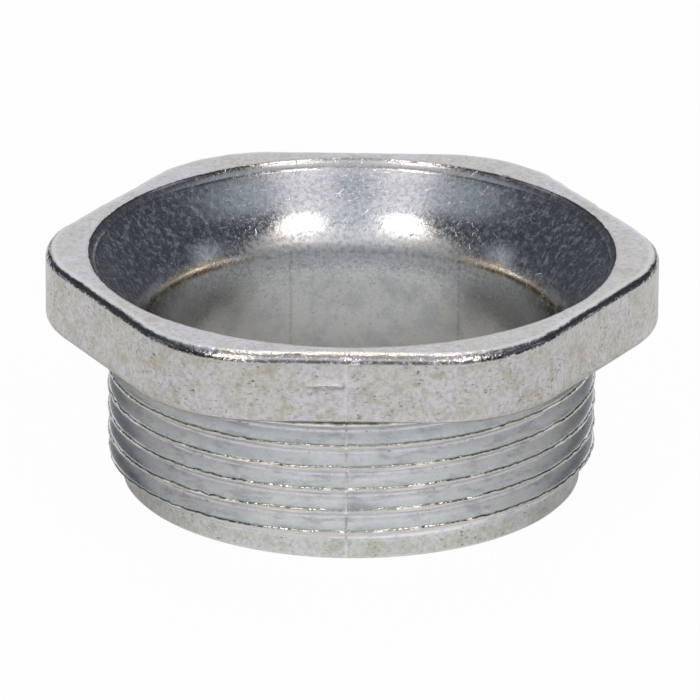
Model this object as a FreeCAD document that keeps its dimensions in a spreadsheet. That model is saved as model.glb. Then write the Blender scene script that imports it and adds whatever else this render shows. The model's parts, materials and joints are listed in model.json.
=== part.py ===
# Chase nipple: a one-piece die-cast conduit fitting with a hexagon head, a short threaded stub
# and a bell-mouthed throat that wires are drawn through. Millimetres, +Z up. It stands on its
# threaded end, with the origin at the middle of the end face and two hexagon corners on the X axis.
import FreeCAD, Part
import Sketcher
import math
import os

NODE = "chase_nipple"

# Driving sizes, each written once.
SIZES = {
    "thread_outside": 47.56,    # diameter over the thread's crests
    "thread_pitch": 2.2087,     # 11.5 turns to the inch
    "thread_angle": 60,         # included angle of the groove, in degrees
    "crest_flat": 0.30,         # width left on top of each ridge
    "root_flat": 0.315,         # width of the groove's floor
    "thread_phase": 0.614,      # height of the groove's middle where it starts, on the +X side
    "root_step": 0.10,          # how far the plain lead lies inside the thread's roots
    "lead_length": 2.20,        # plain lead below the thread
    "end_chamfer": 0.40,        # broken edge of the end face
    "barrel_length": 16.07,     # end face to the seat under the head
    "seat_width": 3.87,         # overhang of the head past the thread, at the flats
    "head_height": 7.13,
    "corner_round": 13.7,       # plan radius of the hexagon's soft corners
    "top_edge_round": 1.2,
    "under_edge_round": 0.9,
    "wall": 2.60,               # metal between the plain lead and the throat
    "rim_land": 2.05,           # flat of the hexagon to the outer edge of the rim chamfer
    "rim_chamfer": 0.65,        # width of the rim chamfer, along a radius
    "rim_depth": 0.73,          # depth of the rim chamfer
    "bell_depth": 6.80,         # top face to where the bell's cone would meet the throat
    "bell_round": 6.0,          # radius that eases the cone into the throat
}

# Sizes that follow from the driving ones.
FLANK_SLOPE = "tan(sizes.thread_angle / 2)"
CREST_RADIUS = "(sizes.thread_outside / 2)"
CREST_HALF = "((sizes.thread_pitch - sizes.crest_flat) / 2)"
ROOT_HALF = "(sizes.root_flat / 2)"
ROOT_RADIUS = f"({CREST_RADIUS} - ({CREST_HALF} - {ROOT_HALF}) / {FLANK_SLOPE})"
LEAD_RADIUS = f"({ROOT_RADIUS} - sizes.root_step)"
SHOULDER_TOP = f"(sizes.lead_length + ({CREST_RADIUS} - {LEAD_RADIUS}) * {FLANK_SLOPE})"
THROAT_RADIUS = f"({LEAD_RADIUS} - sizes.wall)"
HALF_FLATS = f"({CREST_RADIUS} + sizes.seat_width)"
HEXAGON_RADIUS = f"({HALF_FLATS} / cos(30))"
RIM_RADIUS = f"({HALF_FLATS} - sizes.rim_land)"
MOUTH_RADIUS = f"({RIM_RADIUS} - sizes.rim_chamfer)"
TOP = "(sizes.barrel_length + sizes.head_height)"
# The ease is an arc that touches the throat's wall and the cone this far from where they would meet.
CONE_HEIGHT = f"({TOP} - sizes.bell_depth)"
CONE_ANGLE = f"atan(({MOUTH_RADIUS} - {THROAT_RADIUS}) / (sizes.bell_depth - sizes.rim_depth))"
EASE = f"(sizes.bell_round * tan({CONE_ANGLE} / 2))"
EASE_LOW = (THROAT_RADIUS, f"{CONE_HEIGHT} - {EASE}")
EASE_HIGH = (f"{THROAT_RADIUS} + {EASE} * sin({CONE_ANGLE})", f"{CONE_HEIGHT} + {EASE} * cos({CONE_ANGLE})")
EASE_MIDDLE = (
    f"{THROAT_RADIUS} + sizes.bell_round * (1 - cos({CONE_ANGLE} / 2))",
    f"{CONE_HEIGHT} - {EASE} + sizes.bell_round * sin({CONE_ANGLE} / 2)",
)
# The groove's section stands out past the crests by half a crest flat, so that neighbouring
# turns of it stay apart, and it climbs a whole pitch past the seat.
GROOVE_RADIUS = f"({CREST_RADIUS} + sizes.crest_flat / 2)"
GROOVE_HALF = f"({CREST_HALF} + sizes.crest_flat / 2 * {FLANK_SLOPE})"
GROOVE_CLIMB = "(sizes.barrel_length + sizes.thread_pitch - sizes.thread_phase)"
# The throat's cut runs this far past the two faces that it opens on.
PAST = "sizes.thread_pitch"

SIDES = 6
FULL_TURN = 360
# The sketcher's own numbers for the origin, the axes and a line's two ends.
ORIGIN_POINT = (-1, 1)
ACROSS_AXIS = -1
UP_AXIS = -2
START = 1
END = 2
# Lengths closer than this count as equal.
NEAR = 1e-3


def make_sheet(doc):
    sheet = doc.addObject("Spreadsheet::Sheet", "sizes")
    for row, (alias, value) in enumerate(SIZES.items(), start=1):
        sheet.set(f"A{row}", alias)
        sheet.set(f"B{row}", str(value))
        sheet.setAlias(f"B{row}", alias)
    doc.recompute()
    return sheet


def size_of(sheet, expression):
    return float(sheet.evalExpression(expression))


def sketch_on(body, plane_role, name):
    plane = next(item for item in body.Origin.OriginFeatures if item.Role == plane_role)
    sketch = body.newObject("Sketcher::SketchObject", name)
    sketch.AttachmentSupport = (plane, "")
    sketch.MapMode = "FlatFace"
    return sketch


def hold_point(sheet, sketch, name, point, place):
    """Hold a sketch point at two expressions; a coordinate of "0" keeps it on that axis."""
    for kind, expression, axis in zip(("DistanceX", "DistanceY"), place, (UP_AXIS, ACROSS_AXIS)):
        if expression == "0":
            sketch.addConstraint(Sketcher.Constraint("PointOnObject", *point, axis))
            continue
        value = size_of(sheet, expression)
        index = sketch.addConstraint(Sketcher.Constraint(kind, *ORIGIN_POINT, *point, value))
        sketch.renameConstraint(index, f"{name}_{kind}")
        sketch.setExpression(f"Constraints.{name}_{kind}", expression)


def place_of(sheet, place):
    return FreeCAD.Vector(size_of(sheet, place[0]), size_of(sheet, place[1]), 0)


def draw_side(sheet, sketch, corner, following, arcs):
    """Draw one side of an outline, and tell which of its ends is the first and which the last."""
    here = place_of(sheet, corner[1:])
    there = place_of(sheet, following[1:])
    name = corner[0]
    if name not in arcs:
        return sketch.addGeometry(Part.LineSegment(here, there), False), START, END
    middle, radius = arcs[name]
    side = sketch.addGeometry(Part.Arc(here, place_of(sheet, middle), there), False)
    index = sketch.addConstraint(Sketcher.Constraint("Radius", side, size_of(sheet, radius)))
    sketch.renameConstraint(index, f"{name}_Radius")
    sketch.setExpression(f"Constraints.{name}_Radius", radius)
    if sketch.getPoint(side, START).distanceToPoint(here) < NEAR:
        return side, START, END
    return side, END, START


def draw_outline(sheet, sketch, corners, arcs=None):
    """Draw a closed outline through named corners, each held at its place.

    A side is straight, or an arc where arcs gives, for the corner that it leaves, a place on its
    way and its radius.
    """
    sides = []
    for corner, following in zip(corners, corners[1:] + corners[:1]):
        sides.append(draw_side(sheet, sketch, corner, following, arcs or {}))
    for (side, _, last), (following, first, _) in zip(sides, sides[1:] + sides[:1]):
        sketch.addConstraint(Sketcher.Constraint("Coincident", side, last, following, first))
    for (side, first, _), (name, x, y) in zip(sides, corners):
        hold_point(sheet, sketch, name, (side, first), (x, y))


def turn_about_axis(sheet, body, kind, name, sketch):
    turned = body.newObject(kind, name)
    turned.Profile = sketch
    turned.ReferenceAxis = (sketch, ["V_Axis"])
    turned.Angle = FULL_TURN
    sheet.Document.recompute()
    return turned


def round_edges(sheet, body, feature, name, wanted, radius):
    """Round the edges of a feature that the test picks out."""
    numbered = enumerate(feature.Shape.Edges, start=1)
    rounding = body.newObject("PartDesign::Fillet", name)
    rounding.Base = (feature, [f"Edge{number}" for number, edge in numbered if wanted(edge)])
    rounding.setExpression("Radius", radius)
    sheet.Document.recompute()
    return rounding


def lies_at(edge, height, least_radius):
    """Whether an edge is level at a height, with its ends no nearer to the axis than a radius."""
    level = abs(edge.BoundBox.ZMin - height) < NEAR and abs(edge.BoundBox.ZMax - height) < NEAR
    return level and all(math.hypot(end.X, end.Y) > least_radius - NEAR for end in edge.Vertexes)


def make_barrel(sheet, body):
    """The stub before threading: broken end edge, plain lead, shoulder and full thread diameter."""
    sketch = sketch_on(body, "XZ_Plane", "barrel_section")
    draw_outline(sheet, sketch, [
        ("centre", "0", "0"),
        ("end_face", f"{LEAD_RADIUS} - sizes.end_chamfer", "0"),
        ("lead_bottom", LEAD_RADIUS, "sizes.end_chamfer"),
        ("lead_top", LEAD_RADIUS, "sizes.lead_length"),
        ("shoulder", CREST_RADIUS, SHOULDER_TOP),
        ("seat", CREST_RADIUS, "sizes.barrel_length"),
        ("centre_top", "0", "sizes.barrel_length"),
    ])
    return turn_about_axis(sheet, body, "PartDesign::Revolution", "barrel", sketch)


def cut_thread(sheet, body):
    """Right-hand groove with a flat floor, climbing from the plain lead and out past the seat."""
    sketch = sketch_on(body, "XZ_Plane", "groove_section")
    draw_outline(sheet, sketch, [
        ("floor_low", ROOT_RADIUS, f"sizes.thread_phase - {ROOT_HALF}"),
        ("mouth_low", GROOVE_RADIUS, f"sizes.thread_phase - {GROOVE_HALF}"),
        ("mouth_high", GROOVE_RADIUS, f"sizes.thread_phase + {GROOVE_HALF}"),
        ("floor_high", ROOT_RADIUS, f"sizes.thread_phase + {ROOT_HALF}"),
    ])
    thread = body.newObject("PartDesign::SubtractiveHelix", "thread")
    thread.Profile = sketch
    thread.ReferenceAxis = (sketch, ["V_Axis"])
    thread.Mode = "pitch-height-angle"
    thread.LeftHanded = False
    thread.setExpression("Pitch", "sizes.thread_pitch")
    thread.setExpression("Height", GROOVE_CLIMB)
    sheet.Document.recompute()
    return thread


def make_head(sheet, body):
    """Hexagon block on the barrel, with soft corners and eased top and bottom edges."""
    sketch = sketch_on(body, "XY_Plane", "hexagon")
    sketch.setExpression("AttachmentOffset.Base.z", "sizes.barrel_length")
    corners = []
    for number in range(SIDES):
        angle = FULL_TURN // SIDES * number
        on_x_axis = angle % (FULL_TURN // 2) == 0
        up = "0" if on_x_axis else f"{HEXAGON_RADIUS} * sin({angle})"
        corners.append((f"corner_{number}", f"{HEXAGON_RADIUS} * cos({angle})", up))
    draw_outline(sheet, sketch, corners)
    block = body.newObject("PartDesign::Pad", "head")
    block.Profile = sketch
    block.setExpression("Length", "sizes.head_height")
    sheet.Document.recompute()

    half_flats = size_of(sheet, HALF_FLATS)
    top = size_of(sheet, TOP)
    softened = round_edges(
        sheet, body, block, "soft_corners",
        lambda edge: abs(edge.BoundBox.ZLength - sheet.head_height) < NEAR,
        "sizes.corner_round")
    eased = round_edges(
        sheet, body, softened, "top_edge",
        lambda edge: lies_at(edge, top, half_flats),
        "sizes.top_edge_round")
    return round_edges(
        sheet, body, eased, "under_edge",
        lambda edge: lies_at(edge, sheet.barrel_length, half_flats),
        "sizes.under_edge_round")


def cut_throat(sheet, body):
    """Throat through the whole part, eased into a cone at the head, with a chamfered rim."""
    sketch = sketch_on(body, "XZ_Plane", "throat_section")
    draw_outline(sheet, sketch, [
        ("below", "0", f"-{PAST}"),
        ("throat_below", THROAT_RADIUS, f"-{PAST}"),
        ("ease_low", *EASE_LOW),
        ("ease_high", *EASE_HIGH),
        ("mouth", MOUTH_RADIUS, f"{TOP} - sizes.rim_depth"),
        ("rim", RIM_RADIUS, TOP),
        ("rim_above", RIM_RADIUS, f"{TOP} + {PAST}"),
        ("above", "0", f"{TOP} + {PAST}"),
    ], arcs={"ease_low": (EASE_MIDDLE, "sizes.bell_round")})
    return turn_about_axis(sheet, body, "PartDesign::Groove", "throat", sketch)


def check_features(doc, cuts):
    """Stop if a feature failed or if a cut took nothing away."""
    for item in doc.Objects:
        if "Invalid" in item.State or "Error" in item.State:
            raise RuntimeError(f"{item.Name} failed")
    for before, after in cuts:
        if after.Shape.Volume > before.Shape.Volume - NEAR:
            raise RuntimeError(f"{after.Name} cut nothing")


def main():
    doc = FreeCAD.newDocument(NODE)
    sheet = make_sheet(doc)
    body = doc.addObject("PartDesign::Body", NODE)
    body.Label = NODE
    barrel = make_barrel(sheet, body)
    thread = cut_thread(sheet, body)
    head = make_head(sheet, body)
    throat = cut_throat(sheet, body)
    body.Tip = throat
    body.Placement = FreeCAD.Placement()
    doc.recompute()
    check_features(doc, [(barrel, thread), (head, throat)])
    shape = body.Shape
    if shape.isNull() or not shape.isValid() or len(shape.Solids) != 1:
        raise RuntimeError(f"{body.Label} isn't one valid solid")
    os.makedirs("parts", exist_ok=True)
    shape.exportStep(f"parts/{body.Label}.step")
    print(body.Label, "volume", round(shape.Volume, 1), "mm3")


main()
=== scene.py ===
import json
import math

import bpy
import numpy as np
from mathutils import Matrix, Vector


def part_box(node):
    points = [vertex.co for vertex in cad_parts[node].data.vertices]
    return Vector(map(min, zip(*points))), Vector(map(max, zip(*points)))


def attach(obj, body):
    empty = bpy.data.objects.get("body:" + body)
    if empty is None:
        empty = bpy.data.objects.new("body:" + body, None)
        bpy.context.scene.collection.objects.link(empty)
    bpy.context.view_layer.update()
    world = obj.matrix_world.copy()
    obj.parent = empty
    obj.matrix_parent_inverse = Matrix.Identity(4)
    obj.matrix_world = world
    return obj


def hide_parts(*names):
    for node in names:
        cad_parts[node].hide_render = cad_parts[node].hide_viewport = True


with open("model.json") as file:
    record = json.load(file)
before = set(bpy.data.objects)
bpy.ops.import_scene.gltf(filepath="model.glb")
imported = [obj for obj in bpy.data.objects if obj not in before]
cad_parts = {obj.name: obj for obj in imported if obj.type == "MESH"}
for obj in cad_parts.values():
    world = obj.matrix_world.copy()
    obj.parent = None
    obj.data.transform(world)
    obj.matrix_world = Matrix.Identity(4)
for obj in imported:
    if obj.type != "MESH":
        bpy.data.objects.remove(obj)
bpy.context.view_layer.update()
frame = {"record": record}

MM = 0.001
NODE = "chase_nipple"

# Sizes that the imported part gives.
mounts = {mount["name"]: mount for mount in frame["record"]["mounts"]}
_, part_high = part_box(NODE)
HEAD_TOP = part_high.z
HALF_FLATS = part_high.y
HALF_CORNERS = part_high.x
SEAT = mounts["head_seat"]["pos_m"][2]
CREST = mounts["male_thread"]["dims"]["r_mm"] * MM
THREAD_FOOT = SEAT - mounts["male_thread"]["dims"]["length_mm"] * MM
THROAT = mounts["throat"]["dims"]["r_mm"] * MM

# Section of the throat, the rim and the head.
BELL_FOOT = 15.9 * MM
FOOT_EASE = 3.2 * MM
BELL_TURN = (20.92 * MM, 18.52 * MM)
BELL_EASE = 11.5 * MM
BELL_END_BACK = 0.30 * MM
BELL_END_DROP = 0.347 * MM
THROAT_EASE = 0.25 * MM
THROAT_FROM = 0.5 * MM
MOUTH = 24.95 * MM
MOUTH_EASE = 0.10 * MM
MOUTH_BACK = 0.15 * MM
MOUTH_DROP = 0.173 * MM
RIM = 25.6 * MM
RIM_DEPTH = 0.73 * MM
RIM_EASE = 0.10 * MM
LEDGE_BACK = 0.29 * MM
LEDGE_DEPTH = 0.405 * MM
LEDGE_EASE = 0.08 * MM
TOP_ROUND = 1.05 * MM
SIDE_SHARPNESS = 0.68
UNDER_ROUND = 0.9 * MM
# Height above the seat that gets painted shade under the head.
UNDER_SHADE = 0.35 * MM
LAND_START = 0.3 * MM
SURFACE_SLACK = 0.03 * MM

# Thread, lead and end face.
PITCH = 2.2087 * MM
CREST_FLAT = 0.30 * MM
ROOT_FLAT = 0.315 * MM
THREAD_DEPTH = 1.38 * MM
GROOVE_START = 0.614 * MM
FLANK_LEAN = math.radians(30)
ROOT = CREST - THREAD_DEPTH
LEAD = ROOT - 0.10 * MM
LEAD_TOP = 2.20 * MM
END_BREAK = 0.40 * MM
END_EASE = 0.15 * MM
ROOT_EASE = 0.14 * MM
LOW_CREST_EASE = 0.16 * MM
HIGH_CREST_EASE = 0.21 * MM
CREST_GUARD = 0.17 * MM
THREAD_STOP = 0.02 * MM
WALL_MIDDLE = (THROAT + LEAD) / 2

# Grid of the casting and its two parting seams.
EVEN_COLUMNS = 472
SEAM_STEPS = (0.07 * MM, 0.17 * MM)
SEAMS = (math.pi / 2, 3 * math.pi / 2)
SEAM_HALF_WIDTH = 0.16 * MM
SEAM_ON_HEAD = 0.02 * MM
SEAM_ON_THREAD = 0.10 * MM
SEAM_ON_LEAD = 0.05 * MM
TURN = 2 * math.pi

# Unevenness of the casting.
THROAT_RIPPLE = 0.002 * MM
RIM_RAGGED = 0.014 * MM
RIM_DROP = 0.010 * MM
HEAD_RIPPLE = 0.002 * MM
HEAD_WAVE = 0.004 * MM
EDGE_KNOCK = 0.06 * MM
CREST_CHIP = 0.06 * MM
THREAD_WAVE = 0.006 * MM
LEAD_RIPPLE = 0.003 * MM

# Knocks and marks: angle round the axis in degrees, half-width and depth.
RIM_NICKS = ((55, 0.5 * MM, 0.14 * MM), (163, 0.7 * MM, 0.10 * MM), (176, 0.4 * MM, 0.07 * MM))
THROAT_LINES = (109, 59)
DING_ACROSS = -1.8 * MM
DING_HEIGHT = 20.0 * MM
DING_HALF_SIZE = (1.4 * MM, 0.25 * MM)
DING_DEPTH = 0.30 * MM
DING_ROW_GAP = 0.15 * MM

# Colours of the finish and of painted light and shade.
BARE_GREY = (0.595, 0.585, 0.565, 1)
PALE_VIOLET = (0.635, 0.62, 0.665, 1)
KHAKI = (0.47, 0.455, 0.36, 1)
BROWN_STAIN = (0.36, 0.31, 0.235, 1)
DARK_GRAIN = (0.34, 0.33, 0.295, 1)
DARK_PIT = (0.10, 0.09, 0.07, 1)
# Bright metal for wear, also used as painted glints on edges, the ding and the crests.
BRIGHT_METAL_AND_GLINT = (0.98, 0.955, 0.91, 1)
# Dark brown for dirt, also used as painted shade.
BROWN_DIRT_AND_SHADE = (0.085, 0.066, 0.044, 1)
BELL_GREY = (0.68, 0.71, 0.745, 1)
BELL_SLATE = (0.36, 0.39, 0.43, 1)
# Painted reflection: a warm gold line at the sides of the bell's foot.
FOOT_GOLD_REFLECTION = (0.92, 0.70, 0.38, 1)
# Darker grey down the throat: the metal's tone, with painted shade of the bore.
THROAT_GREY_AND_SHADE = (0.43, 0.435, 0.42, 1)
THROAT_CLOUD = (0.30, 0.325, 0.345, 1)
# Thread grey, lighter than the head as painted light in its shaded grooves.
THREAD_GREY_WITH_PAINTED_LIGHT = (0.775, 0.835, 0.825, 1)
THREAD_SLATE = (0.42, 0.46, 0.48, 1)
# Painted light: near-white on the thread's lower flanks and roots.
ROOT_PAINTED_LIGHT = (0.92, 0.92, 0.95, 1)
CREST_TAN = (0.48, 0.45, 0.40, 1)

# Floor: how bright it is to the eye and, zone by zone, in reflections, where its darker zones are painted
# shadow.
FLOOR_SEEN = 0.97
FLOOR_BEFORE = 0.92
FLOOR_BESIDE = 0.72
FLOOR_UNDER_HEAD = 0.24
FLOOR_SHADED = 36 * MM
FLOOR_CLEAR = 65 * MM
FLOOR_IN_THROAT = 0.72
FLOOR_THROAT_SHADE = 0.68
FLOOR_HEIGHT = -0.02 * MM
FLOOR_REACH = 3.0

# Room: its colours by direction.
DARK_CORNERS = (0.063, 0.071, 0.086, 1)
GREY_CEILING = (0.52, 0.56, 0.62, 1)
SIDE_WALLS = (0.45, 0.47, 0.50, 1)
FRONT_WALL = (0.66, 0.69, 0.73, 1)
LAMP_GLOW = (1.12, 1.06, 1.07, 1)
WHITE_BACKDROP = (0.96, 0.965, 1.01, 1)
OVERHEAD_PANEL = (1.1, 1.08, 1.04, 1)
WARM_STRIP = (3.3, 2.8, 2.1, 1)
HORIZON = 0.9

# Lamps, in metres and degrees.
SOFTBOX_AWAY = 1.3
SOFTBOX_ELEVATION = 43
SOFTBOX_SIZE = (0.29, 0.48)
SOFTBOX_TINT = (1.0, 0.88, 0.76)
SOFTBOX_LEVEL = 6.0
LEFT_AZIMUTH = -32.5
RIGHT_AZIMUTH = 34.5

# Camera, in millimetres and degrees.
CAMERA_PLACE = (17.19, -915.24, 375.0)
CAMERA_AIM = (-0.16, 0.0, 12.80)
CAMERA_ROLL = 0.352
CAMERA_LENS = 520.1
CAMERA_SENSOR = 36.0

rng = np.random.default_rng(11)


def column_angles():
    """Angles of the grid's columns, with closer ones beside the two parting seams."""
    even = np.arange(EVEN_COLUMNS) * TURN / EVEN_COLUMNS
    close = [seam + side * step / CREST for seam in SEAMS for step in SEAM_STEPS for side in (-1, 1)]
    return np.sort(np.concatenate([even, close]))


ANGLES = column_angles()
COLUMNS = len(ANGLES)
COS = np.cos(ANGLES)
SIN = np.sin(ANGLES)


def soft_noise(count, width):
    """Random values along a closed line, smoothed over a width in columns, with a spread of 1."""
    raw = rng.normal(size=count)
    waves = np.fft.rfftfreq(count)
    kept = np.fft.rfft(raw) * np.exp(-2 * (math.pi * waves * width) ** 2)
    smooth = np.fft.irfft(kept, n=count)
    return smooth / smooth.std()


def eased_path(corners, longest, guard=0, guarded=()):
    """Points (across, height, corner) of a path of straight runs, with runs cut to a longest length.

    A corner of the path is (across, height, radius, steps). A point on a corner's arc has that corner's
    place in the list, and a point on a straight run has None. A guard is the distance from the arc of a
    guarded corner to the next point on the run beside it, so that a mark on the arc stays there. The run
    after a guarded corner has a second such point, so that its shading stays flat.
    """
    points = [(*corners[0][:2], None)]
    for place, (before, here, after) in enumerate(zip(corners, corners[1:], corners[2:]), start=1):
        at = np.array(here[:2])
        back = np.array(before[:2]) - at
        ahead = np.array(after[:2]) - at
        back = back / np.linalg.norm(back)
        ahead = ahead / np.linalg.norm(ahead)
        half = math.acos(np.clip(back @ ahead, -1, 1)) / 2
        radius, steps = here[2:]
        middle = at + (back + ahead) / np.linalg.norm(back + ahead) * radius / math.sin(half)
        start = at + back * radius / math.tan(half) - middle
        end = at + ahead * radius / math.tan(half) - middle
        sweep = math.pi - 2 * half
        for step in range(steps + 1):
            part = step / steps
            arc = math.sin((1 - part) * sweep) * start + math.sin(part * sweep) * end
            arc = arc / math.sin(sweep)
            points.append((*(middle + arc), place))
    points.append((*corners[-1][:2], None))
    cut = [points[0]]
    for a, b in zip(points, points[1:]):
        length = math.dist(a[:2], b[:2])
        count = max(1, math.ceil(length / longest))
        parts = [step / count for step in range(1, count)]
        if a[2] in guarded and a[2] != b[2] and length > 3 * guard:
            parts = [guard / length, 1.6 * guard / length] + parts
        if b[2] in guarded and a[2] != b[2] and length > 3 * guard:
            parts = parts + [1 - guard / length]
        for part in parts:
            cut.append((a[0] + (b[0] - a[0]) * part, a[1] + (b[1] - a[1]) * part, None))
        cut.append(b)
    return cut


def hexagon():
    """Outline of the head at each column, and its outward direction: flats joined by soft corners."""
    half_angle = math.pi / 6
    flats = HALF_FLATS - SURFACE_SLACK
    round_radius = (HALF_FLATS / math.cos(half_angle) - HALF_CORNERS) / (1 / math.cos(half_angle) - 1)
    flat_angle = half_angle + 2 * half_angle * np.floor(ANGLES / (2 * half_angle))
    off = ANGLES - flat_angle
    corner_reach = (flats - round_radius) / math.cos(half_angle)
    to_corner = half_angle - np.abs(off)
    root = np.sqrt(np.maximum(round_radius ** 2 - (corner_reach * np.sin(to_corner)) ** 2, 0))
    on_corner = corner_reach * np.cos(to_corner) + root
    on_flat = flats / np.cos(off)
    is_flat = flats * np.abs(np.tan(off)) <= (flats - round_radius) * math.tan(half_angle)
    reach = np.where(is_flat, on_flat, on_corner)
    points = np.stack([reach * COS, reach * SIN], axis=1)
    corner_angle = flat_angle + np.sign(off) * half_angle
    centre = corner_reach * np.stack([np.cos(corner_angle), np.sin(corner_angle)], axis=1)
    flat_way = np.stack([np.cos(flat_angle), np.sin(flat_angle)], axis=1)
    way = np.where(is_flat[:, None], flat_way, (points - centre) / round_radius)
    return points, way


OUTLINE, OUTWARD = hexagon()


def ring(radius, height):
    """One row of the grid on a circle; radius and height may vary by column."""
    return np.stack([radius * COS, radius * SIN, np.broadcast_to(height, COLUMNS)], axis=1)


def head_ring(inset, height):
    """One row of the grid a distance inside the head's outline."""
    flat = OUTLINE - OUTWARD * np.broadcast_to(inset, COLUMNS)[:, None]
    return np.column_stack([flat, np.broadcast_to(height, COLUMNS)])


def seam_share():
    """1 on a parting seam, falling to 0 at its foot, for each column."""
    away = np.min([np.abs(ANGLES - seam) for seam in SEAMS], axis=0) * CREST
    return np.clip(1 - away / SEAM_HALF_WIDTH, 0, 1)


SEAM = seam_share()


class Casting:
    """Rows of a closed grid, each with one vertex to a column and its marks for the finish and for
    painted light and shade.
    """

    def __init__(self):
        self.points = []
        self.marks = {"bell": [], "screw": [], "edge": [], "crevice": [], "worn": [], "dull": []}
        self.rows = []

    def add(self, points, **marks):
        """Adds vertices and gives their numbers."""
        start = sum(len(p) for p in self.points)
        self.points.append(points)
        for name, values in self.marks.items():
            values.append(np.broadcast_to(marks.get(name, 0.0), len(points)))
        return np.arange(start, start + len(points))

    def add_row(self, points, **marks):
        """Adds a row that meets itself after one turn."""
        numbers = self.add(points, **marks)
        self.rows.append(np.append(numbers, numbers[0]))
        return numbers

    def faces(self):
        """Faces between each row and the next, the last row joining the first."""
        made = []
        for upper, lower in zip(self.rows, self.rows[1:] + self.rows[:1]):
            for a, b, c, d in zip(upper, upper[1:], lower[1:], lower):
                face = []
                for number in (d, c, b, a):
                    if number not in face:
                        face.append(int(number))
                if len(face) > 2:
                    made.append(face)
        return made


def hollow(away, half_width):
    """Share of a dent's depth at a distance from its middle."""
    return np.exp(-(away / half_width) ** 2)


def rim_knocks():
    """How far the rim's outer edge is knocked back at each column."""
    knocks = []
    for angle, half_width, depth in RIM_NICKS:
        away = (ANGLES - math.radians(angle)) * RIM
        knocks.append(depth * hollow(away, half_width))
    return np.sum(knocks, axis=0)


def throat_lines():
    """1 on the column nearest to each of the two faint lines down the throat."""
    lines = np.zeros(COLUMNS)
    for angle in THROAT_LINES:
        lines[np.argmin(np.abs(ANGLES - math.radians(angle)))] = 1
    return lines


def front_ding(height):
    """Depth, bright metal with a painted highlight, and dark marks of the ding at each column, at one
    height on the front flat.
    """
    half_length, half_height = DING_HALF_SIZE
    on_front = OUTLINE[:, 1] < -0.9 * HALF_FLATS
    away = OUTLINE[:, 0] - DING_ACROSS
    above = height - DING_HEIGHT
    along = on_front * hollow(away, half_length)
    depth = along * hollow(above, half_height)
    lip = 0.3 * along * hollow(above - 2.0 * half_height, 1.1 * half_height)
    # The ding's lip and upper part: bright metal that is also a painted highlight.
    bright = np.maximum(lip, along * hollow(above - 0.4 * half_height, 0.6 * half_height))
    end = on_front * hollow(away - 1.1 * half_length, 0.2 * MM) * hollow(above, half_height)
    dark = np.maximum(end, 0.6 * along * hollow(above + 0.8 * half_height, 0.6 * half_height))
    return depth, bright, dark


def add_throat(casting):
    """End face, throat and bell, from the middle of the end face upwards."""
    path = eased_path([
        (WALL_MIDDLE, 0, 0, 0),
        (THROAT, 0, THROAT_EASE, 3),
        (THROAT, BELL_FOOT, FOOT_EASE, 6),
        (*BELL_TURN, BELL_EASE, 10),
        (MOUTH - BELL_END_BACK, HEAD_TOP - RIM_DEPTH - BELL_END_DROP, 0, 0),
    ], longest=1.5 * MM)
    lines = throat_lines()
    for radius, height, _ in path:
        out = radius + THROAT_RIPPLE * soft_noise(COLUMNS, 9.0)
        in_throat = THROAT_FROM < height < BELL_FOOT
        casting.add_row(
            ring(out, height),
            bell=1.0 if height > THROAT_FROM else 0.0,
            crevice=0.35 * lines if in_throat else 0.0,
        )


def add_rim(casting):
    """The narrow band between the bell and the top land, with ragged edges."""
    path = eased_path([
        (MOUTH - MOUTH_BACK, HEAD_TOP - RIM_DEPTH - MOUTH_DROP, 0, 0),
        (MOUTH, HEAD_TOP - RIM_DEPTH, MOUTH_EASE, 2),
        (RIM - LEDGE_BACK, HEAD_TOP - LEDGE_DEPTH, LEDGE_EASE, 1),
        (RIM, HEAD_TOP, RIM_EASE, 3),
        (RIM + LAND_START, HEAD_TOP, 0, 0),
    ], longest=0.30 * MM)
    ragged = {1: soft_noise(COLUMNS, 1.0), 3: soft_noise(COLUMNS, 0.9)}
    dropped = {1: soft_noise(COLUMNS, 1.2), 3: soft_noise(COLUMNS, 1.2)}
    knocks = {1: 0, 3: rim_knocks()}
    for radius, height, corner in path:
        out = radius
        sunk = height
        if corner in ragged:
            out = radius + RIM_RAGGED * ragged[corner] + knocks[corner]
            sunk = np.minimum(height + RIM_DROP * (dropped[corner] - 1), HEAD_TOP)
            sunk = sunk - knocks[corner] * 0.5
        below_land = radius < RIM and corner != 3
        # The dark lines along the rim's inner and outer edges are painted shade.
        casting.add_row(
            ring(out, sunk),
            bell=0.6 if below_land else 0.0,
            edge={1: 0.4, 3: 1.0}.get(corner, 0.0),
            crevice={1: 0.3, 3: 0.6}.get(corner, 0.0),
        )


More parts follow.
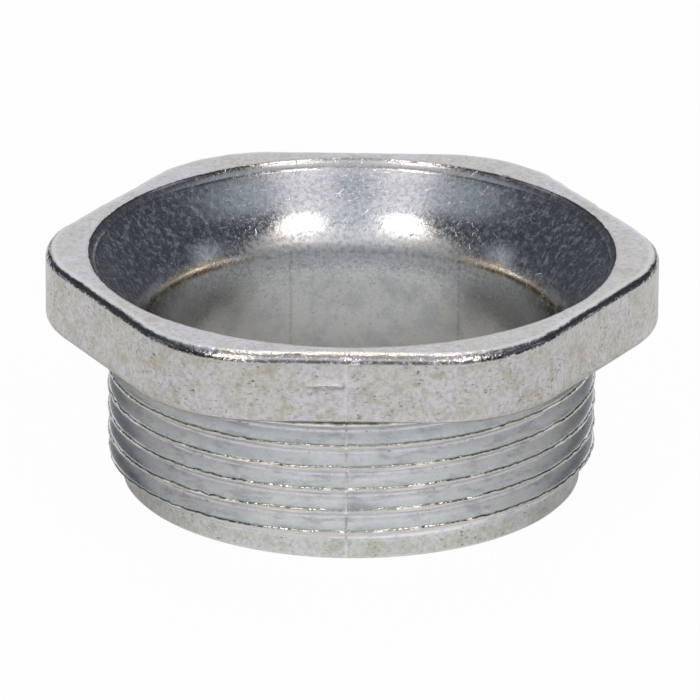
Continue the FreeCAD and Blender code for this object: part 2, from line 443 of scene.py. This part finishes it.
def add_head(casting):
    """Top land, outer edges, flats and seat."""
    path = eased_path([
        (TOP_ROUND + 0.08 * MM, HEAD_TOP, 0, 0),
        (0, HEAD_TOP, TOP_ROUND, 9),
        (0, SEAT, UNDER_ROUND, 5),
        (UNDER_ROUND + 0.1 * MM, SEAT, 0, 0),
    ], longest=0.40 * MM)
    clear = [point for point in path if point[2] or abs(point[1] - DING_HEIGHT) > 4 * DING_ROW_GAP]
    across_ding = [(0, DING_HEIGHT + step * DING_ROW_GAP, None) for step in range(-4, 5)]
    path = sorted(clear + across_ding, key=lambda point: -point[1])
    inner = ring(RIM + LAND_START, HEAD_TOP)
    outer = head_ring(*path[0][:2])
    for part in (0.33, 0.67):
        casting.add_row(inner + (outer - inner) * part)
    wave = soft_noise(COLUMNS, 5.0)
    battered = EDGE_KNOCK * np.clip(0.5 + 0.5 * soft_noise(COLUMNS, 1.3), 0, 1.6)
    # Patchy painted shade and painted glints along the head's rounded top edges.
    patchy_shade = np.clip(1.4 * soft_noise(COLUMNS, 1.6) - 0.1, 0, 1)
    glints = 0.8 * (soft_noise(COLUMNS, 0.8) > 1.1)
    rounding = np.interp(-OUTWARD[:, 1], (0.55, 0.95), (SIDE_SHARPNESS, 1.0))
    for inset, height, corner in path:
        ripple = HEAD_RIPPLE * (soft_noise(COLUMNS, 1.6) - 3) + HEAD_WAVE * wave + SEAM_ON_HEAD * SEAM
        ding, bright, dark = front_ding(height)
        scale = rounding if corner == 1 else 1.0
        deep = inset * scale - np.minimum(ripple, 0) + DING_DEPTH * ding
        low = HEAD_TOP - (HEAD_TOP - height) * scale
        painted_shade = 0
        glint = 0
        # Painted shade under the head, on its lower rounded edge.
        if corner == 2 and height < SEAT + UNDER_SHADE:
            painted_shade = 0.6
        if corner == 1:
            outward = 1 - inset / TOP_ROUND
            # Dark bands on the rounded top edge are painted shade; the darkest holds painted glints.
            if 0.90 < outward < 0.99:
                painted_shade = 0.9
                glint = glints
            elif 0.60 < outward < 0.80:
                painted_shade = 0.45
            elif 0.40 < outward <= 0.60:
                painted_shade = patchy_shade
            upward = math.sqrt(max(1 - outward ** 2, 0))
            knocked = battered * 2 * outward * upward
            deep = deep + knocked * outward
            low = low - knocked * upward
        casting.add_row(
            head_ring(deep, low),
            edge=1.0 if corner == 1 and inset > 0 else 0.8 * ding,
            crevice=np.maximum(painted_shade, dark),
            worn=np.maximum(np.maximum(bright, glint), 0.22 * SEAM),
        )
    # Painted shade at the inner edge of the seat, under the head.
    casting.add_row(ring(CREST + 0.5 * MM, SEAT), crevice=0.9)


def thread_section():
    """Height above a groove's middle, radius and corner, up one pitch of the thread."""
    middle = PITCH / 2
    path = eased_path([
        (-ROOT_FLAT / 2, ROOT, 0, 0),
        (ROOT_FLAT / 2, ROOT, ROOT_EASE, 1),
        (middle - CREST_FLAT / 2, CREST, LOW_CREST_EASE, 2),
        (middle + CREST_FLAT / 2, CREST, HIGH_CREST_EASE, 3),
        (PITCH - ROOT_FLAT / 2, ROOT, ROOT_EASE, 1),
        (PITCH, ROOT, 0, 0),
    ], longest=2.0 * MM, guard=CREST_GUARD, guarded=(2, 3))
    return path[1:]


def shoulder(height):
    """Radius of the cone from the lead up to the thread's full size."""
    slope = (CREST - LEAD) / (THREAD_FOOT - LEAD_TOP)
    return LEAD + (height - LEAD_TOP) * slope


def add_thread(casting):
    """Helical rows from the seat down to the lead, stopped at both."""
    section = thread_section()
    share = ANGLES / TURN
    first, last = -1, 7
    heights, radii = zip(*[point[:2] for point in section])
    above_seat = np.mod(SEAT - GROOVE_START - PITCH * share, PITCH)
    at_seat = np.interp(above_seat, heights, radii, period=PITCH)
    # Painted shade along the seat, under the head.
    top = casting.add_row(ring(at_seat, SEAT), screw=1.0, crevice=1.0)
    low = casting.add(ring(LEAD, LEAD_TOP), screw=0.5)
    turns = last - first + 1
    length = turns * COLUMNS
    chips = CREST_CHIP * np.clip(soft_noise(length, 1.0) + 0.2, 0, 2)
    wave = soft_noise(length, 7.0)
    flaked = soft_noise(length, 2.0)
    numbers = np.empty((turns, len(section), COLUMNS), int)
    for turn in range(turns):
        along = slice(turn * COLUMNS, (turn + 1) * COLUMNS)
        for step, (above, radius, corner) in enumerate(section):
            height = GROOVE_START + PITCH * (share + turn + first) + above
            on_edge = {2: 0.8, 3: 1.0}.get(corner, 0.0)
            low_flank = corner is None and above < PITCH / 2
            # The lower flank and root: a duller finish, and near-white painted light.
            in_root = 1.0 if low_flank or radius < ROOT + 0.3 * MM else 0.0
            up_flank = {2: -1, 3: 1}.get(corner, 0)
            # Painted shade on the thread's last turn under the head.
            under_head = np.clip(1.6 - (SEAT - height) / (0.5 * PITCH), 0, 1)
            # Bare metal on the seam, and painted glints along the crest's upper edge.
            bare_metal_and_glints = np.maximum(0.8 * SEAM, 0.8 * (flaked[along] > 0.9) * (corner == 3))
            chipped = chips[along] * abs(up_flank)
            reach = np.minimum(radius, shoulder(height)) + THREAD_WAVE * wave[along]
            reach = reach - chipped * math.cos(FLANK_LEAN)
            reach = reach + SEAM_ON_THREAD * SEAM * (1 + 0.4 * flaked[along])
            moved = height + up_flank * chipped * math.sin(FLANK_LEAN)
            moved = np.clip(moved, LEAD_TOP + THREAD_STOP / 2, SEAT - THREAD_STOP / 2)
            inside = (height > LEAD_TOP + THREAD_STOP) & (height < SEAT - THREAD_STOP)
            made = casting.add(
                ring(reach, moved)[inside],
                screw=1.0,
                edge=on_edge,
                crevice=np.maximum(0.5 * SEAM * (flaked[along] > 0.8), under_head)[inside],
                worn=bare_metal_and_glints[inside],
                dull=in_root,
            )
            numbers[turn, step] = np.where(height > (LEAD_TOP + SEAT) / 2, top, low)
            numbers[turn, step, inside] = made
    steps = len(section)
    flat = numbers.reshape(turns * steps, COLUMNS)
    for row in reversed(range(turns * steps)):
        after = flat[row + steps, 0] if row + steps < turns * steps else top[0]
        casting.rows.append(np.append(flat[row], after))
    casting.rows.append(np.append(low, low[0]))


def add_lead(casting):
    """Plain lead, its broken edge and the outer part of the end face."""
    path = eased_path([
        (LEAD, LEAD_TOP, 0, 0),
        (LEAD, END_BREAK, END_EASE, 2),
        (LEAD - END_BREAK, 0, END_EASE, 2),
        (WALL_MIDDLE + 0.2 * MM, 0, 0, 0),
    ], longest=0.5 * MM)
    for radius, height, _ in path[1:]:
        ripple = LEAD_RIPPLE * soft_noise(COLUMNS, 3.0)
        flash = SEAM_ON_LEAD * SEAM if height > 0 else 0
        casting.add_row(ring(radius + ripple + flash, height), screw=0.2, worn=0.4 * SEAM)


def make_casting():
    """The whole casting as one closed mesh, with its marks as attributes."""
    casting = Casting()
    add_throat(casting)
    add_rim(casting)
    add_head(casting)
    add_thread(casting)
    add_lead(casting)
    mesh = bpy.data.meshes.new(NODE)
    mesh.from_pydata(np.concatenate(casting.points).tolist(), [], casting.faces())
    for name, values in casting.marks.items():
        mark = mesh.attributes.new(name, "FLOAT", "POINT")
        mark.data.foreach_set("value", np.concatenate(values).astype(np.float32))
    mesh.validate()
    mesh.shade_smooth()
    piece = bpy.data.objects.new("casting", mesh)
    bpy.context.scene.collection.objects.link(piece)
    return piece


class Value:
    """A node's output socket, with arithmetic that adds Math nodes."""

    def __init__(self, tree, socket):
        self.tree = tree
        self.socket = socket

    def maths(self, operation, *values):
        """Adds one Math node."""
        sockets = dict(enumerate(values))
        return self.tree.node("ShaderNodeMath", {"operation": operation}, sockets)

    def __add__(self, other):
        return self.maths("ADD", self, other)

    __radd__ = __add__

    def __sub__(self, other):
        return self.maths("SUBTRACT", self, other)

    def __rsub__(self, other):
        return self.maths("SUBTRACT", other, self)

    def __mul__(self, other):
        return self.maths("MULTIPLY", self, other)

    __rmul__ = __mul__

    def __truediv__(self, other):
        return self.maths("DIVIDE", self, other)

    def __rtruediv__(self, other):
        return self.maths("DIVIDE", other, self)


class Finish:
    """The node tree of a material or of the world."""

    def __init__(self, owner):
        owner.use_nodes = True
        self.tree = owner.node_tree
        self.tree.nodes.clear()

    def node(self, kind, settings=None, sockets=None, output=0):
        """Adds a node: its settings first, then the values or links of its sockets."""
        made = self.tree.nodes.new(kind)
        for name, value in (settings or {}).items():
            setattr(made, name, value)
        for key, value in (sockets or {}).items():
            if isinstance(value, Value):
                self.tree.links.new(value.socket, made.inputs[key])
            else:
                made.inputs[key].default_value = value
        return Value(self, made.outputs[output]) if made.outputs else None

    def between(self, value, low, high):
        """0 below one value and 1 above another, with a soft step from the first to the second."""
        settings = {"interpolation_type": "SMOOTHSTEP"}
        return self.node("ShaderNodeMapRange", settings, {0: value, 1: low, 2: high})

    def larger(self, a, b):
        """The larger of two values."""
        return self.node("ShaderNodeMath", {"operation": "MAXIMUM"}, {0: a, 1: b})

    def unsigned(self, value):
        """A value without its sign."""
        return self.node("ShaderNodeMath", {"operation": "ABSOLUTE"}, {0: value})

    def part(self, vector, axis):
        """One part of a vector: 0, 1 or 2 for x, y or z."""
        return self.node("ShaderNodeSeparateXYZ", None, {0: vector}, output=axis)

    def stretched(self, place, scale):
        """A place with its parts scaled."""
        return self.node("ShaderNodeVectorMath", {"operation": "MULTIPLY"}, {0: place, 1: scale})

    def blend(self, share, low, high):
        """A colour between two others."""
        return self.node("ShaderNodeMix", {"data_type": "RGBA"}, {0: share, 6: low, 7: high}, output=2)

    def grain(self, place, scale, detail=2.0, rough=0.5):
        """Soft random pattern."""
        sockets = {"Vector": place, "Scale": scale, "Detail": detail, "Roughness": rough}
        return self.node("ShaderNodeTexNoise", None, sockets)

    def cells(self, place, scale, feature):
        """Random cells."""
        settings = {"feature": feature}
        return self.node("ShaderNodeTexVoronoi", settings, {"Vector": place, "Scale": scale})

    def ray(self, kind):
        """1 for one kind of ray."""
        return self.node("ShaderNodeLightPath", output=kind)

    def mark(self, name):
        """One of the casting's marks."""
        return self.node("ShaderNodeAttribute", {"attribute_name": name}, output="Fac")


def grey(level):
    """A colour without a tint."""
    return (level, level, level, 1.0)


def make_zinc():
    """Die-cast zinc: satin grey with pale violet and khaki patches, specks, stains and scuffs, with
    painted light and shade: dark edges, shade under the head and down the throat, glints, a gold
    reflection at the bell's foot and a lighter thread.
    """
    material = bpy.data.materials.new("zinc")
    finish = Finish(material)
    place = finish.node("ShaderNodeTexCoord", output="Object")
    bell = finish.mark("bell")
    screw = finish.mark("screw")
    edge = finish.mark("edge")
    crevice = finish.mark("crevice")
    worn = finish.mark("worn")
    # The dull mark: a rougher finish and painted light on the thread's lower flanks and roots.
    root_dull_and_painted_light = finish.mark("dull")
    skin = 1 - finish.larger(bell, edge)

    # Zones by height round the bell's foot: the grey throat, which also holds painted shade, its smooth
    # wall, all that is below the bell, the turn at the foot, the front and back of that turn, which are
    # rubbed dull, and a thin gold line at its sides, which is a painted reflection.
    above = finish.part(place, 2)
    from_middle = finish.unsigned(finish.part(place, 0))
    throat = bell * finish.between(above, BELL_FOOT - 0.6 * MM, BELL_FOOT - 4.5 * MM)
    smooth = bell * finish.between(above, BELL_FOOT - 1.6 * MM, BELL_FOOT - 3.6 * MM)
    below = bell * finish.between(above, BELL_FOOT + 0.4 * MM, BELL_FOOT - 0.4 * MM)
    turned = bell * finish.between(above, BELL_FOOT - 2.6 * MM, BELL_FOOT - 0.4 * MM)
    turned = turned * finish.between(above, BELL_FOOT + 2.6 * MM, BELL_FOOT + 0.6 * MM)
    rubbed = turned * finish.between(from_middle, 15 * MM, 8 * MM)
    patches = finish.between(finish.grain(place, 260), 0.62, 0.42)
    painted_gold_reflection = bell * finish.between(above, BELL_FOOT - 0.8 * MM, BELL_FOOT - 0.2 * MM)
    painted_gold_reflection = painted_gold_reflection * finish.between(above, BELL_FOOT + 1.1 * MM, BELL_FOOT + 0.5 * MM)
    painted_gold_reflection = painted_gold_reflection * finish.between(from_middle, 8 * MM, 15 * MM) * (0.4 + patches * 0.6)
    facing = finish.node("ShaderNodeNewGeometry", output="Normal")
    upright = finish.between(finish.unsigned(finish.part(facing, 2)), 0.7, 0.3)

    # Colour, from the bare metal up to wear and dirt, and painted light and shade.
    flat_place = finish.stretched(place, (0.4, 0.4, 2.0))
    long_place = finish.stretched(place, (0.6, 0.6, 1.4))
    violet = finish.between(finish.grain(place, 240, 6.0, 0.7), 0.46, 0.60)
    khaki = finish.between(finish.grain(place, 620, 6.0, 0.75), 0.48, 0.64)
    mottle = finish.grain(place, 2300, 5.0, 0.75)
    blotch = finish.grain(flat_place, 900, 4.0, 0.65)
    stain = finish.between(finish.grain(place, 150, 5.0, 0.72), 0.58, 0.70)
    colour = finish.blend(violet, BARE_GREY, PALE_VIOLET)
    colour = finish.blend(khaki * skin * (0.35 + upright * 0.5), colour, KHAKI)
    colour = finish.blend(stain * 0.45 * skin, colour, BROWN_STAIN)
    colour = finish.blend(bell * 0.8, colour, BELL_GREY)
    # Painted light: the thread is lighter, to brighten its shaded grooves.
    colour = finish.blend(screw * 0.9, colour, THREAD_GREY_WITH_PAINTED_LIGHT)
    # Painted light: near-white lower flanks and roots of the thread.
    colour = finish.blend(root_dull_and_painted_light * 0.9, colour, ROOT_PAINTED_LIGHT)
    # Painted shade down the throat, in the metal's darker grey there.
    colour = finish.blend(throat * 0.85, colour, THROAT_GREY_AND_SHADE)
    # Painted reflection: a thin gold line at the sides of the bell's foot.
    colour = finish.blend(painted_gold_reflection * 0.7, colour, FOOT_GOLD_REFLECTION)
    cloud = finish.between(finish.grain(place, 420, 6.0, 0.7), 0.42, 0.62)
    colour = finish.blend(smooth * cloud * 0.45, colour, THROAT_CLOUD)
    colour = finish.blend(screw * edge * 0.8, colour, CREST_TAN)
    bell_mottle = (bell - smooth * 0.9) * finish.between(mottle, 0.44, 0.62)
    colour = finish.blend(bell_mottle * 0.65, colour, BELL_SLATE)
    thread_blotch = screw * finish.between(blotch, 0.50, 0.68)
    colour = finish.blend(thread_blotch * 0.5, colour, THREAD_SLATE)
    skin_grain = finish.between(mottle, 0.60, 0.30) * 0.7 * skin * (1 - screw * 0.8)
    colour = finish.blend(skin_grain, colour, DARK_GRAIN)
    speck = finish.between(finish.grain(long_place, 3300, 3.0, 0.6), 0.60, 0.68)
    crowd = finish.between(finish.grain(place, 330, 3.0, 0.6), 0.38, 0.58)
    pits = speck * crowd * skin * (0.25 + upright * 0.75)
    colour = finish.blend(pits * 0.58, colour, DARK_PIT)
    # Wear, and painted glints on the head's top edges, the ding and the thread's crests.
    colour = finish.blend(worn * 0.9, colour, BRIGHT_METAL_AND_GLINT)
    broken = finish.between(finish.grain(place, 2300, 4.0, 0.7), 0.38, 0.52)
    # Dark brown: dirt in the throat lines, seam and ding, and painted shade at the rim, the head's top
    # edges and under the head.
    colour = finish.blend(crevice * broken * 0.85, colour, BROWN_DIRT_AND_SHADE)

    # Gloss and relief.
    fine = finish.grain(place, 7000, 3.0, 0.65)
    scuff = finish.grain(place, 2400, 4.0, 0.7)
    dent = finish.grain(long_place, 2600, 2.0, 0.5)
    dull = finish.between(finish.grain(place, 3600, 4.0, 0.65), 0.42, 0.62)
    film = finish.between(finish.grain(place, 1500, 6.0, 0.75), 0.47, 0.64)
    nicks = finish.between(finish.grain(place, 4200, 2.0, 0.5), 0.67, 0.71)
    hair = 1 - finish.between(finish.cells(place, 700, "DISTANCE_TO_EDGE"), 0.0, 0.02)
    scratch = hair * finish.between(finish.grain(place, 900, 2.0), 0.57, 0.64)
    satin = 0.34 - bell * 0.23 - edge * 0.20 - screw * 0.08 + (scuff - 0.5) * (0.2 - smooth * 0.15)
    satin = satin + dull * 0.14 * (bell - smooth * 0.3) + pits * 0.3 + rubbed * 0.28 + root_dull_and_painted_light * 0.28
    height = fine * (0.4 - bell * 0.1 - smooth * 0.22 - screw * 0.34)
    height = height + scuff * (0.4 - smooth * 0.25 - screw * 0.32 + edge * 1.2 + worn * 6)
    height = height + dent * edge * (4 + screw * 3) - pits * 1.2
    height = height - scratch * (0.6 + bell * 1.4 - below * 2.0 - screw * 0.5)
    height = height - nicks * (bell - throat * 0.8 + skin - skin * upright) * 3
    bump = finish.node("ShaderNodeBump", None, {"Strength": 0.22, "Distance": 0.1 * MM, "Height": height})
    metal = 1 - film * (bell - smooth) * 0.28
    shader = finish.node(
        "ShaderNodeBsdfPrincipled", None,
        {"Base Color": colour, "Metallic": metal, "Roughness": satin, "Normal": bump},
    )
    finish.node("ShaderNodeOutputMaterial", None, {"Surface": shader})
    return material


def make_floor():
    """Plain white floor just under the end face.

    In the metal's reflections it glows white, darkened by painted shadow under the head, beside the
    casting and inside the throat.
    """
    mesh = bpy.data.meshes.new("floor")
    square = ((-1, -1), (1, -1), (1, 1), (-1, 1))
    corners = [(x * FLOOR_REACH, y * FLOOR_REACH, FLOOR_HEIGHT) for x, y in square]
    mesh.from_pydata(corners, [], [(0, 1, 2, 3)])
    floor = bpy.data.objects.new("floor", mesh)
    bpy.context.scene.collection.objects.link(floor)
    material = bpy.data.materials.new("white_floor")
    finish = Finish(material)
    lit = finish.node(
        "ShaderNodeBsdfPrincipled", None,
        {"Base Color": grey(0.88), "Roughness": 0.9, "Specular IOR Level": 0.0},
    )
    white = finish.node("ShaderNodeEmission", None, {"Color": grey(1.0), "Strength": 1.0})
    place = finish.node("ShaderNodeTexCoord", output="Object")
    from_axis = finish.node("ShaderNodeVectorMath", {"operation": "LENGTH"}, {0: place}, output="Value")
    outside = finish.between(from_axis, THROAT, LEAD)
    across = finish.part(place, 1)
    before = finish.between(across / from_axis, -0.4, -0.98)
    clear = finish.between(from_axis, FLOOR_SHADED, FLOOR_CLEAR)
    mirrored = finish.ray("Is Glossy Ray") + finish.ray("Is Transmission Ray")
    # Painted shadow in the floor's reflections: darker under the head, beside the casting and inside the
    # throat.
    beside = FLOOR_UNDER_HEAD + clear * (FLOOR_BESIDE - FLOOR_UNDER_HEAD)
    around = beside + before * (FLOOR_BEFORE - beside)
    inside = FLOOR_IN_THROAT - finish.between(across, -4 * MM, 8 * MM) * FLOOR_THROAT_SHADE
    bright = inside + outside * (around - inside)
    share = finish.ray("Is Camera Ray") * FLOOR_SEEN + mirrored * bright
    shader = finish.node("ShaderNodeMixShader", None, {0: share, 1: lit, 2: white})
    finish.node("ShaderNodeOutputMaterial", None, {"Surface": shader})
    mesh.materials.append(material)


def make_studio():
    """A room with a white backdrop, grey ceiling and front wall, dim side walls and dark corners."""
    world = bpy.data.worlds.new("studio")
    bpy.context.scene.world = world
    finish = Finish(world)
    way = finish.node("ShaderNodeTexCoord", output="Generated")
    beside = finish.unsigned(finish.part(way, 0))
    behind = finish.part(way, 1)
    up = finish.part(way, 2)
    backdrop = finish.between(behind - beside * 0.9 + up * 0.8, 0.62, 1.0)
    overhead = finish.between(up + behind * 0.25 - beside * 0.6, 0.93, 1.0)
    front = finish.between(0 - behind - beside * 0.9, 0.05, 0.35)
    front = front * finish.between(up, 0.06, 0.18) * finish.between(up, 0.965, 0.92)
    ceiling = finish.between(up, 0.66, 0.96) * finish.between(behind, -0.45, -0.15)
    colour = finish.blend(ceiling, DARK_CORNERS, GREY_CEILING)
    side = finish.between(finish.unsigned(behind), 0.20, 0.06) * finish.between(up, 0.08, 0.20)
    side = side * finish.between(up, 0.52, 0.40)
    colour = finish.blend(side, colour, SIDE_WALLS)
    spill = finish.between(beside * 0.264 - behind * 0.35 + up * 0.9, 0.974, 0.995)
    colour = finish.blend(front, colour, FRONT_WALL)
    colour = finish.blend(spill, colour, LAMP_GLOW)
    colour = finish.blend(backdrop, colour, WHITE_BACKDROP)
    colour = finish.blend(overhead, colour, OVERHEAD_PANEL)
    strip = finish.between(up + behind * 0.3 - beside * 0.3, 0.985, 1.015)
    colour = finish.blend(strip, colour, WARM_STRIP)
    colour = finish.blend(finish.between(up, 0.015, -0.01), colour, grey(HORIZON))
    light = finish.node("ShaderNodeBackground", None, {"Color": colour, "Strength": 1.0})
    finish.node("ShaderNodeOutputWorld", None, {"Surface": light})


def way_to(azimuth, elevation):
    """Direction from the object; azimuth 0 is towards the camera's side, and turns to the right."""
    turn = math.radians(azimuth)
    rise = math.radians(elevation)
    return Vector((math.sin(turn) * math.cos(rise), -math.cos(turn) * math.cos(rise), math.sin(rise)))


def make_softbox(name, azimuth):
    """A large soft lamp that faces the object, itself out of the camera's sight."""
    lamp = bpy.data.lights.new(name, "AREA")
    lamp.shape = "RECTANGLE"
    lamp.size, lamp.size_y = SOFTBOX_SIZE
    lamp.color = SOFTBOX_TINT
    lamp.energy = SOFTBOX_LEVEL * math.pi * lamp.size * lamp.size_y
    holder = bpy.data.objects.new(name, lamp)
    bpy.context.scene.collection.objects.link(holder)
    back = way_to(azimuth, SOFTBOX_ELEVATION)
    holder.location = back * SOFTBOX_AWAY
    holder.rotation_euler = back.to_track_quat("Z", "Y").to_euler()
    holder.visible_camera = False


def make_camera():
    """Camera at the photograph's angle."""
    place = Vector(CAMERA_PLACE) * MM
    aim = Vector(CAMERA_AIM) * MM
    roll = math.radians(CAMERA_ROLL)
    ahead = (aim - place).normalized()
    right = ahead.cross(Vector((0, 0, 1))).normalized()
    up = right.cross(ahead)
    turned_right = right * math.cos(roll) + up * math.sin(roll)
    turned_up = up * math.cos(roll) - right * math.sin(roll)
    lens = bpy.data.cameras.new("camera")
    lens.lens = CAMERA_LENS
    lens.sensor_width = CAMERA_SENSOR
    camera = bpy.data.objects.new("camera", lens)
    bpy.context.scene.collection.objects.link(camera)
    turn = Matrix((turned_right, turned_up, -ahead)).transposed().to_4x4()
    camera.matrix_world = Matrix.Translation(place) @ turn
    bpy.context.scene.camera = camera


bpy.context.scene.view_settings.view_transform = "Standard"
casting = make_casting()
casting.data.materials.append(make_zinc())
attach(casting, "root")
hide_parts(NODE)
make_floor()
make_studio()
make_softbox("left_softbox", LEFT_AZIMUTH)
make_softbox("right_softbox", RIGHT_AZIMUTH)
make_camera()
